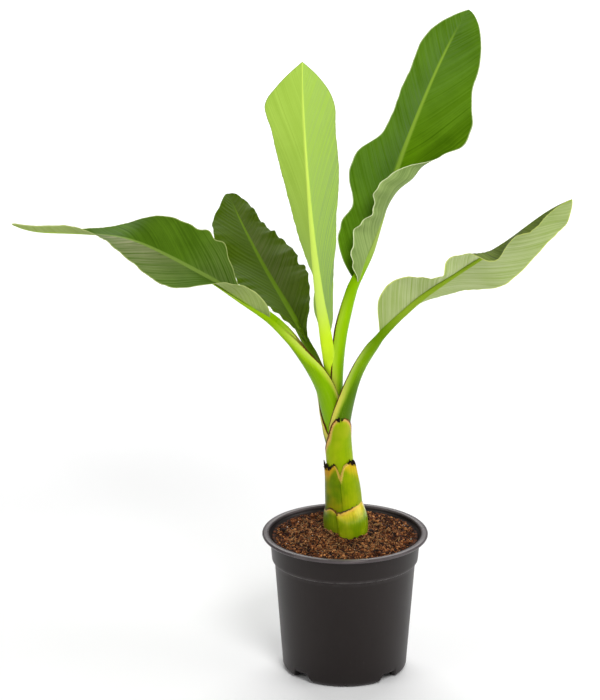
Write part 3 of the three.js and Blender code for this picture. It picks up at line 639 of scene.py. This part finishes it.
def fibres(count, seed, length, thick, bend, tones):
    """Root fibres that lie on the soil: thin four-sided tubes along shallow arcs, with drawn lengths, bends,
    thicknesses and tones."""
    draw = np.random.default_rng(seed)
    along = np.linspace(-0.5, 0.5, 9)
    length = draw.uniform(*length, count)[:, None]
    turn = draw.uniform(0, 2 * np.pi, count)[:, None] + draw.uniform(-bend, bend, count)[:, None] * along
    radius = (POT["band_top"] - 16) * np.sqrt(draw.uniform(0, 1, count))[:, None]
    at = draw.uniform(0, 2 * np.pi, count)[:, None]
    x = radius * np.cos(at) + length * along * np.cos(turn)
    y = radius * np.sin(at) + length * along * np.sin(turn)
    z = soil_level(x, y) + 0.5 - 6 * along**4
    thick = draw.uniform(*thick, count)[:, None] * (1 - 0.8 * (2 * np.abs(along)) ** 4)
    angle = np.pi / 4 + np.pi / 2 * np.arange(4)[:, None]
    side = np.stack([-np.sin(turn), np.cos(turn), np.zeros_like(turn)], -1)
    middle = np.stack([x, y, z], -1)
    off = np.cos(angle) * side[:, :, None] + np.sin(angle) * (0, 0, 1)
    rings = middle[:, :, None] + thick[..., None, None] * off
    return [loft(ring, tone=tone) for ring, tone in zip(rings, draw.uniform(*tones, count))]


def soil():
    """Soil that fills the pot: a turned body with a lumpy top, and crumbs, fibres and white grains on it."""
    p = POT
    turn = round_turns(SOIL["columns"])
    band, bed, thick = p["height"] - p["band"], p["floor"] + 8, p["wall"] + SOIL["gap"]
    sides = np.array([(20, bed), (p["wall_foot"] - 8, bed), (p["wall_foot"] - thick, 14),
                      (p["wall_top"] - thick, band - 3), (p["band_foot"] - thick, band + 4)])
    body = np.stack([sides[:, :1] * np.cos(turn), sides[:, :1] * np.sin(turn),
                     np.broadcast_to(sides[:, 1:], (len(sides), len(turn)))], -1)
    radius = np.append(np.linspace(p["band_top"] - thick, 12, 100), 6)[:, None]
    x, y = radius * np.cos(turn), radius * np.sin(turn)
    top = np.stack([x, y, soil_level(x, y)], -1)
    rings = np.concatenate([body, top])
    tone = np.concatenate([np.zeros(body.shape[:2]), 0.12 + 0.3 * lumps(x, y, 8, 6)])
    brown = peat_finish("peat", (0.012, 0.003, 0.001), (0.17, 0.045, 0.008), (0.62, 0.27, 0.09))
    shown("soil", [loft(rings, tone=tone)], brown, "peat", "soil")
    shown("soil_crumbs", [scattered(**CRUMBS)], brown, "peat")
    shown("soil_clods", [scattered(**CLODS)], brown, "peat")
    straw = peat_finish("peat_fibre", (0.09, 0.035, 0.012), (0.25, 0.11, 0.035), (0.45, 0.26, 0.11))
    shown("soil_fibres", fibres(**FIBRES), straw, "peat")
    grit = peat_finish("white_grain", (0.45, 0.4, 0.33), (0.62, 0.58, 0.5), (0.8, 0.77, 0.7))
    shown("soil_grains", [scattered(**GRAINS)], grit, "peat")


# Stem and sheaths

def stem_axis(height):
    """Points of the leaning stem's axis at heights above the soil."""
    height = np.asarray(height, float)
    fx, fy, fz = STEM["foot"]
    return np.stack([fx + STEM["lean"] * height / STEM["height"], np.full_like(height, fy), fz + height], -1)


def round_stem(height, radius, turn):
    """Points beside the stem at heights, distances from its axis and headings in radians."""
    x, y = radius * np.cos(turn), radius * np.sin(turn)
    return stem_axis(height) + np.stack([x, y, np.zeros_like(x)], -1)


def stem():
    """The stem's core: rings whose radius follows the list, from below the soil to the fork."""
    height = np.linspace(-STEM["sunk"], STEM["height"], 60)[:, None] * np.ones(STEM["columns"])
    turn = round_turns(STEM["columns"])
    radius = ease(STEM["radii"], height / STEM["reach"]) - 0.2 - 3 * smooth(height, 78, 92)
    marks = dict(edge=30.0, dry=0.0, pale=0.0, band=0.0, turn=turn * 12, height=height)
    skin = sheath_finish("stem_skin", (0.32, 0.46, 0.004), (0.5, 0.52, 0.05), (0.6, 0.45, 0.14),
                         (0.18, 0.3, 0.003), line=0.0, gloss=0.35, band=1.0)
    shown("stem", [loft(round_stem(height, radius, turn), **marks)], skin, "stem_flesh", "stem")


def sheath(name, s, seed, skin):
    """Wall round part of the stem. Its top follows the heights and is torn where it has dried, its wall
    thins to its margins and top, it swells outwards between its foot and its top, its top flares, and its
    sides turn in."""
    a, v = np.linspace(0, 1, SHEATH_COLUMNS), np.linspace(0, 1, SHEATH_ROWS)[:, None] ** 0.8
    turn = np.radians(mixed(s["arc"][0], s["arc"][1], a))
    dry = np.maximum(ease(s["dry"], a), 0)
    spikes = np.abs(wander(a, seed, 12, 34)) ** 1.5 * 2.4 + 0.6 * wander(a, seed + 1, 36, 70)
    top = ease(s["tops"], a) + spikes * smooth(dry, 0.4, 4) * 1.5 + 0.3 * wander(a, seed + 2, 6, 18)
    height = mixed(-STEM["sunk"], top, v)
    below_top = top - height
    core = ease(STEM["radii"], height / STEM["reach"])
    margin = np.minimum(a, 1 - a) * np.radians(abs(s["arc"][1] - s["arc"][0])) * (core + s["inset"])
    slope = np.gradient(ease(s["tops"], a), turn) / (core + s["inset"])
    undried = 15 * smooth(below_top, 0.6 * s["sides"], s["sides"])
    edge = np.minimum(margin + undried, below_top / np.hypot(1, slope))
    wall = s["wall"] * mixed(0.3, 1, smooth(below_top, -0.5, 7)) * mixed(0.4, 1, smooth(margin, -0.5, 3))
    swell = s["swell"] * np.sin(np.pi * v ** s["high"]) * smooth(margin, -3, 10)
    keel = 0.5 * np.exp(-((a - 0.5) / 0.16) ** 2) * smooth(below_top, 0, 10)
    dried = smooth(dry - below_top, -0.4, 1.2) * smooth(dry, 0.1, 0.8)
    curl = dried * (0.9 * wander(a * 3 + v, seed + 3, 3, 8) - 0.2)
    flare = s["flare"] * smooth(below_top, 14, 0) * smooth(margin, 2, 14)
    groove = 1.3 * smooth(margin, 2.5, 0) * smooth(below_top, 2, 12)
    outer = core + s["inset"] + s["wall"] + swell + keel + curl + flare - groove
    rings = two_sided(round_stem(height, outer, turn), round_stem(height, outer - wall, turn))
    pale = np.clip(1 - below_top / np.maximum(ease(s["pale"], a), 1), 0, 1)
    marks = dict(edge=edge, dry=dried, pale=pale, band=smooth(height, 6, 30), turn=turn * 14, height=height)
    marks = {mark: two_sided(np.broadcast_to(value, height.shape)) for mark, value in marks.items()}
    shown("sheath_" + name, [loft(rings, **marks)], skin, "sheath", "sheath_" + name)


def sheaths():
    """All sheaths. Those on the left of the middle and the foot have darker finishes of their own: painted
    shade for the side of the stem away from the key lamp, while the orange-brown of the middle one is its own
    colour.
    """
    upper = sheath_finish("sheath_upper", (0.32, 0.46, 0.001), (0.5, 0.48, 0.02), (0.66, 0.4, 0.1),
                          (0.2, 0.33, 0.001), line=0.95, gloss=0.12, band=5.0)
    middle = sheath_finish("sheath_middle", (0.33, 0.44, 0.001), (0.7, 0.5, 0.015), (0.78, 0.56, 0.1),
                           (0.14, 0.25, 0.001), line=0.4, gloss=0.16, band=3.2)
    # Painted shade: the left pieces get darker greens than the lit pieces on the right.
    middle_left = sheath_finish("sheath_middle_left", (0.18, 0.28, 0.001), (0.62, 0.36, 0.012),
                                (0.74, 0.5, 0.08), (0.07, 0.14, 0.001), line=0.4, gloss=0.16, band=3.0)
    foot = sheath_finish("sheath_foot", (0.36, 0.52, 0.001), (0.76, 0.62, 0.03), (0.82, 0.52, 0.08),
                         (0.13, 0.25, 0.001), line=0.95, gloss=0.6, band=4.5, wax=0.3)
    foot_left = sheath_finish("sheath_foot_left", (0.16, 0.28, 0.001), (0.5, 0.46, 0.02), (0.76, 0.5, 0.08),
                              (0.05, 0.11, 0.001), line=0.95, gloss=0.3, band=3.5)
    skins = dict(upper=upper, middle=middle, foot=foot, middle_left=middle_left, foot_left=foot_left)
    for seed, (name, s) in enumerate(SHEATHS.items()):
        sheath(name, s, 100 + 10 * seed, skins.get(name, skins[name.split("_")[0]]))


# Leaves

def axes(leaf, share):
    """Directions at shares of the leaf's length: along the midrib, to its plus side, and up from the leaf."""
    rise, heading = np.radians(ease(leaf["rise"], share)), np.radians(ease(leaf["heading"], share))
    c, s = np.cos(rise), np.sin(rise)
    along = np.stack([c * np.cos(heading), c * np.sin(heading), s], -1)
    up = np.stack([-s * np.cos(heading), -s * np.sin(heading), c], -1)
    return along, np.cross(along, up), up


def outwards(leaf):
    """Level direction in which the leaf leaves the stem."""
    heading = math.radians(leaf["heading"][0])
    return np.array([math.cos(heading), math.sin(heading), 0])


def midrib(leaf, away):
    """Places on the midrib at distances from the fork: the leaf's directions summed from the fork up, and the
    stem's axis below it. The stalk's foot is set outwards and comes back to the line as it rises."""
    step = leaf["length"] / WALK_STEPS
    along = axes(leaf, (np.arange(WALK_STEPS) + 0.5) / WALK_STEPS)[0]
    line = np.concatenate([np.zeros((1, 3)), np.cumsum(along * step, 0)])
    at = np.clip(away, 0, leaf["length"]) / step
    rising = np.stack([np.interp(at, np.arange(WALK_STEPS + 1), line[:, k]) for k in range(3)], -1)
    root = stem_axis(STEM["height"] + np.minimum(away, 0))
    settle = np.clip(1 - away / (0.6 * leaf["stalk"]), 0, 1) ** 2 * leaf["set"]
    settle = np.minimum(settle, mixed(0, 3.2, smooth(away, -30, 0)))
    return rising + root + settle[:, None] * outwards(leaf)


def rolled(leaf, away, form):
    """Side and up directions of the rib, rolled to lie evenly between the two halves of the blade. The
    stalk has a roll of its own, which it loses near the blade's base."""
    share = away / leaf["length"]
    neck = leaf["stalk"] / leaf["length"]
    u = np.clip((share - neck) / (1 - neck), 0, 1)
    full = (ease(leaf["plus"]["fold"], u) - ease(leaf["minus"]["fold"], u)) / 2
    own = ease(form["roll"], (away - STALK_FROM) / (STALK_TO - STALK_FROM))
    kept = 1 - smooth(away - leaf["stalk"], *form["unroll"])
    turn = np.radians(full * np.clip(share / neck, 0, 1) + own * kept)[:, None]
    _, side, up = axes(leaf, share)
    return side * np.cos(turn) + up * np.sin(turn), up * np.cos(turn) - side * np.sin(turn)


def rib_half(leaf, away):
    """Half the width of the rib along the blade. It narrows fast at first if its taper is large."""
    neck, tip = leaf["rib"]
    u = np.clip((away - leaf["stalk"]) / (leaf["length"] - leaf["stalk"]), 0, 1)
    return mixed(tip, neck, (1 - u) ** leaf["taper"]) / 2


def rib_rings(leaf, form, away, fit):
    """Sections of the stalk and rib, carried along the midrib. The outside is an arc of an ellipse from
    margin to margin. The inside is the thin wall of an open sheath round the stem at the fork, and a
    shallow channel above it, which fills out along the blade, where the rib sinks below the sheet. Fit
    shrinks the sections where stalk and rib run into each other. Gives rings, distances from the margin,
    distances round the section, and which columns lie on the inside."""
    t = np.linspace(-1, 1, RIB_COLUMNS)
    foot = (away - STALK_FROM) / (STALK_TO - STALK_FROM)
    base = leaf["stalk"]
    onto = smooth(away, min(STALK_TO, base - 15), base)
    rib = rib_half(leaf, away)
    minus = (mixed(ease(form["minus"], foot), rib, onto) * fit)[:, None]
    plus = (mixed(ease(form["plus"], foot), rib, onto) * fit)[:, None]
    deep = mixed(ease(form["deep"], foot), rib * 0.84, smooth(away, STALK_TO, base + 40))
    deep = (deep * fit)[:, None]
    lift = (ease(form["lift"], foot) * (1 - smooth(away, base - 10, base + 40)))[:, None]
    sunk = 0.5 * deep * smooth(away - base, *form["sink"])[:, None]
    turn_minus = mixed(ease(form["minus_turn"], foot), RIB_TURN, onto)[:, None]
    turn_plus = mixed(ease(form["plus_turn"], foot), RIB_TURN, onto)[:, None]
    turn = np.radians(np.where(t < 0, turn_minus, turn_plus)) * t
    half = np.where(t < 0, minus, plus)
    opened = 1 - smooth(away, 25, 60)[:, None]
    filled = smooth(away, base - 5, base + 45)[:, None]
    outer_x, outer_y = half * np.sin(turn), -deep * np.cos(turn)
    thin_x, thin_y = (half - SHEATH_WALL) * np.sin(turn), -(deep - SHEATH_WALL) * np.cos(turn)
    level = mixed(outer_y[:, :1], outer_y[:, -1:], (t + 1) / 2) - 0.08 * minus
    channel_x = mixed(outer_x[:, :1], outer_x[:, -1:], (t + 1) / 2) * 0.88
    channel_y = level - minus * mixed(0.6, -0.12, filled) * (1 - t * t)
    inner_x, inner_y = mixed(channel_x, thin_x, opened), mixed(channel_y, thin_y, opened)
    side, up = rolled(leaf, away, form)
    x, y = two_sided(outer_x, inner_x), two_sided(outer_y, inner_y) + lift - sunk
    fore = ease(form["fore"], foot) * (1 - smooth(away, min(STALK_TO, base - 25), base))
    middle = midrib(leaf, away) - fore[:, None] * (0, 1, 0)
    rings = middle[:, None] + x[..., None] * side[:, None] + y[..., None] * up[:, None]
    girth = turn * half
    edge = np.minimum(np.abs(girth - girth[:, :1]), np.abs(girth[:, -1:] - girth))
    inside = np.concatenate([np.zeros_like(t), np.ones_like(t)])
    return rings, two_sided(edge), two_sided(girth, 40 + 0.8 * girth), inside


def stalk(name, leaf, skin):
    """The stalk, from below the fork to just inside the blade's rib."""
    away = np.linspace(STALK_FROM, leaf["stalk"] + 8, RIB_ROWS)
    fit = mixed(1, 0.9, smooth(away, leaf["stalk"] - 4, leaf["stalk"] + 8))
    rings, edge, turn, _ = rib_rings(leaf, STALKS[name], away, fit)
    body = loft(rings, edge=edge, turn=turn, up=away[:, None])
    shown("stalk_" + name, [body], skin, "stalk", "stalk_" + name)


def half_width(half, u):
    """Width of one half of the blade at shares u along it: rounded in at its base and towards its tip."""
    share, power, rounding = half["tip"]
    to_tip = np.clip((u - 1 + share) / share, 0, 1)
    to_base = np.clip(1 - u / half["base"], 0, 1)
    return ease(half["widths"], u) * (1 - to_tip**power) ** rounding * np.sqrt(1 - to_base**2)


def half_blade(leaf, form, half, sign, u, q, seed):
    """One half of the blade, from the rib at q 0 to the margin at q 1. Each row leaves the rib at its fold
    and bends on by its curl, so a place on it is the sum of directions at the angle fold + curl q. Waves
    and crinkles grow to the margin, and shallow pleats follow the veins. Gives places, widths and the vein
    each place lies on."""
    neck = leaf["stalk"] / leaf["length"]
    away = mixed(leaf["stalk"], leaf["length"], u)
    _, side, up = axes(leaf, mixed(neck, 1, u))
    ragged = ease(half["ragged"], u)
    width = (half_width(half, u) * (1 + ragged * wander(u, seed, 5, 16)))[:, None]
    fold = np.radians(ease(half["fold"], u))[:, None]
    curl = np.radians(ease(half["curl"], u))[:, None]
    curl = np.where(np.abs(curl) < 1e-4, 1e-4, curl)
    x = width * (np.sin(fold + curl * q) - np.sin(fold)) / curl
    y = width * (np.cos(fold) - np.cos(fold + curl * q)) / curl
    high, count, phase = half["wave"]
    wave = high * np.sin(2 * np.pi * (count * u + phase))[:, None] * q**2
    crinkle = (40 * ragged * wander(u, seed + 1, 9, 24))[:, None] * q**4
    vein = away[:, None] - leaf["slant"] * q * width - BLADE["bend"] * (q * width) ** 2
    ridge = np.sin(2 * np.pi * vein / BLADE["spacing"] + 1.5 * wander(vein / 90, seed + 2, 1, 3))
    pleat = BLADE["pleat"] * ridge * smooth(q, 0.02, 0.2)
    lift = (wave + crinkle) * np.minimum(1, width / 20) + pleat * np.minimum(1, width / 12)
    lean = fold + 0.7 * curl
    x, y = x - lift * np.sin(lean), y + lift * np.cos(lean)
    across, _ = rolled(leaf, away, form)
    root = (0.7 * rib_half(leaf, away) * np.minimum(1, width[:, 0] / 12))[:, None] * (1 - q) ** 2
    beside = x[..., None] * side[:, None] + root[..., None] * across[:, None]
    return midrib(leaf, away)[:, None] + sign * beside + y[..., None] * up[:, None], width, vein


def blade(name, leaf, seed, skin, slot):
    """The blade: two halves with a thin body, upper side and under side, and the midrib that carries them."""
    form = STALKS[name]
    t = np.linspace(0, 1, BLADE_ROWS)
    u = mixed(t, 0.5 - 0.5 * np.cos(np.pi * t), 0.6)
    q = np.append(np.linspace(0, 0.965, HALF_COLUMNS), (0.985, 1))
    minus, width_m, vein_m = half_blade(leaf, form, leaf["minus"], -1, u, q, seed)
    plus, width_p, vein_p = half_blade(leaf, form, leaf["plus"], 1, u, q, seed + 5)
    middle = np.concatenate([minus[:, ::-1], plus], 1)
    normal = np.cross(np.gradient(middle, axis=1), np.gradient(middle, axis=0))
    normal /= np.maximum(np.linalg.norm(normal, axis=-1, keepdims=True), 1e-9)
    share = np.concatenate([q[::-1], q])
    thick = mixed(*BLADE["thick"], share)[None, :, None] / 2
    rings = two_sided(middle + normal * thick, middle - normal * thick)
    width = np.concatenate([width_m * np.ones_like(q), width_p * np.ones_like(q)], 1)
    vein = np.concatenate([vein_m[:, ::-1], vein_p + 500], 1)
    drawn = mixed(*leaf["drawn"], u)[:, None]
    rib = smooth(share * width, drawn, 0.4 * drawn) * smooth(u, 0.97, 0.8)[:, None]
    # Painted sheen along each half, fading towards the margin, on the side that is seen.
    sheen_m, sheen_p = (ease(leaf[h]["dull"], u)[:, None] * (1 - leaf["fade"] * q) for h in ("minus", "plus"))
    dull = np.clip(np.concatenate([sheen_m[:, ::-1], sheen_p], 1), 0, 1)
    marks = dict(edge=(1 - share) * width, out=share * width, vein=vein, rib=rib)
    marks = {mark: two_sided(value) for mark, value in marks.items()}
    sheet = loft(rings, side=two_sided(np.ones_like(width), np.zeros_like(width)), reach=90.0,
                 dull=two_sided(dull * (leaf["seen"] > 0), dull * (leaf["seen"] < 0)), **marks)
    away = np.linspace(leaf["stalk"] - 8, leaf["length"] - 1, RIB_ROWS)
    fit = mixed(0.9, 1, smooth(away, leaf["stalk"] - 8, leaf["stalk"] + 4))
    rings, _, turn, inside = rib_rings(leaf, form, away, fit)
    spine = loft(rings, side=inside, edge=9.0, out=0.0, vein=turn, rib=1.0, dull=0.0,
                 reach=away[:, None] - leaf["stalk"])
    shown("blade_" + name, [sheet, spine], skin, slot, "blade_" + name)


def leaves():
    """Stalk and blade of each leaf, with its own tones: green, light, shade and keel on the stalk, where
    shade and keel are painted shade and light is partly painted light; dark and green above, under side and
    its light, rib above and below, the colour of the painted sheen, and margin on the blade."""
    # Stalk tones are green, light, shade and keel. Shade and keel are painted shade along the keel, and light
    # is partly painted light at the margins.
    stalk_tones = dict(
        # The centre stalk's bright lime is partly the young leaf's own paler green and partly painted light
        # shining through it.
        centre=((0.66, 0.9, 0.02), (0.8, 0.94, 0.2), (0.56, 0.82, 0.02), (0.6, 0.85, 0.02)),
        tall=((0.3, 0.55, 0.001), (0.46, 0.66, 0.04), (0.16, 0.35, 0.001), (0.24, 0.47, 0.001)),
        left=((0.34, 0.57, 0.001), (0.6, 0.74, 0.1), (0.21, 0.42, 0.001), (0.17, 0.32, 0.001)),
        right=((0.2, 0.39, 0.001), (0.48, 0.62, 0.1), (0.07, 0.165, 0.001), (0.19, 0.38, 0.001)),
        # The back leaf's dark stalk tones are partly painted shade, as it stands behind the others.
        back=((0.13, 0.24, 0.006), (0.3, 0.4, 0.08), (0.07, 0.14, 0.003), (0.1, 0.2, 0.004)))
    blade_tones = dict(
        # The centre's bright under side and rib tones are partly its own paler green and partly painted light
        # shining through the young leaf.
        centre=((0.2, 0.38, 0.02), (0.3, 0.5, 0.03), (0.35, 0.56, 0.06), (0.5, 0.73, 0.11),
                (0.5, 0.68, 0.1), (0.6, 0.8, 0.12), (0.16, 0.26, 0.12), (0.3, 0.42, 0.1)),
        tall=((0.05, 0.128, 0.001), (0.145, 0.31, 0.004), (0.15, 0.23, 0.06), (0.34, 0.45, 0.15),
              (0.26, 0.42, 0.04), (0.34, 0.46, 0.1), (0.09, 0.15, 0.07), (0.78, 0.85, 0.5)),
        left=((0.04, 0.095, 0.003), (0.105, 0.215, 0.012), (0.22, 0.3, 0.06), (0.34, 0.42, 0.15),
              (0.2, 0.31, 0.05), (0.34, 0.52, 0.03), (0.38, 0.36, 0.21), (0.55, 0.62, 0.22)),
        right=((0.045, 0.065, 0.012), (0.17, 0.24, 0.035), (0.26, 0.38, 0.05), (0.49, 0.58, 0.25),
               (0.24, 0.38, 0.05), (0.26, 0.4, 0.02), (0.6, 0.65, 0.4), (0.7, 0.78, 0.2)),
        # The back leaf's dark blade tones are partly painted shade, as it stands behind the others.
        back=((0.044, 0.085, 0.001), (0.082, 0.15, 0.002), (0.2, 0.29, 0.09), (0.28, 0.37, 0.14),
              (0.13, 0.24, 0.004), (0.16, 0.28, 0.015), (0.15, 0.15, 0.07), (0.12, 0.2, 0.03)))
    for seed, (name, leaf) in enumerate(LEAVES.items()):
        green, light, shade, keel = stalk_tones[name]
        joint = tuple(np.mean([green, shade], 0))
        stalk(name, leaf, stalk_finish("stalk_" + name, green, light, shade, keel, joint, leaf["stalk"]))
        finish = blade_finish("blade_" + name, *blade_tones[name], joint)
        blade(name, leaf, 300 + 20 * seed, finish, "young_blade" if name == "centre" else "blade")


# Studio, in metres

FLOOR_RADIUS, FLOOR_LEVEL = 9, -0.0003
SKY_STRENGTH = 0.26
# Lamps: place, what they point at, diameter and watts
LAMPS = dict(
    key=((0.6, -2.1, 2.2), (-0.05, 0, 0.35), 1.1, 46),
    left=((-2.0, -1.0, 1.0), (-0.05, 0, 0.3), 1.2, 10),
    right=((2.1, -0.5, 0.8), (-0.05, 0, 0.3), 1.6, 17),
    far=((0.0, 3.6, 2.8), (0.0, 3.6, 0.0), 4.5, 190),
)


def camera():
    """Camera at the photograph's angle: 3.5 m from the target, looking down at 17.8 degrees."""
    distance, elevation, target = 3.5, math.radians(17.8), Vector((-0.0462, 0.0, 0.342))
    data = bpy.data.cameras.new("camera")
    data.lens, data.sensor_width = 178.5, 36.0
    cam = bpy.data.objects.new("camera", data)
    bpy.context.scene.collection.objects.link(cam)
    cam.location = target + distance * Vector((0.0, -math.cos(elevation), math.sin(elevation)))
    cam.rotation_euler = (math.pi / 2 - elevation, 0.0, 0.0)
    bpy.context.scene.camera = cam


def lamp(name, place, target, size, watts):
    """A soft round lamp that points at the target."""
    data = bpy.data.lights.new(name, "AREA")
    data.shape, data.size, data.energy = "DISK", size, watts
    light = bpy.data.objects.new(name, data)
    bpy.context.scene.collection.objects.link(light)
    light.location = place
    light.rotation_euler = (Vector(target) - Vector(place)).to_track_quat("-Z", "Y").to_euler()


def studio():
    """Pale floor, pale surroundings and four large soft lamps."""
    scene = bpy.context.scene
    scene.view_settings.view_transform = "Standard"
    world = bpy.data.worlds.new("studio")
    world.use_nodes = True
    sky = world.node_tree.nodes["Background"]
    sky.inputs["Color"].default_value = (1.0, 1.0, 1.0, 1.0)
    sky.inputs["Strength"].default_value = SKY_STRENGTH
    scene.world = world
    turn = round_turns(96)
    level = np.full_like(turn, FLOOR_LEVEL)
    disc = np.stack([FLOOR_RADIUS * np.cos(turn), FLOOR_RADIUS * np.sin(turn), level], -1)
    mesh = bpy.data.meshes.new("floor")
    mesh.from_pydata(disc, [], [list(range(len(disc)))])
    pale = Finish("floor", Roughness=0.9)
    cloud = pale.noise(pale.place(), 3.0)
    mesh.materials.append(pale.paint(pale.colour(cloud, (0.9, 0.9, 0.9), (0.92, 0.92, 0.92))))
    floor = bpy.data.objects.new("floor", mesh)
    scene.collection.objects.link(floor)
    for name, settings in LAMPS.items():
        lamp(name, *settings)


camera()
studio()
pot()
soil()
stem()
sheaths()
leaves()
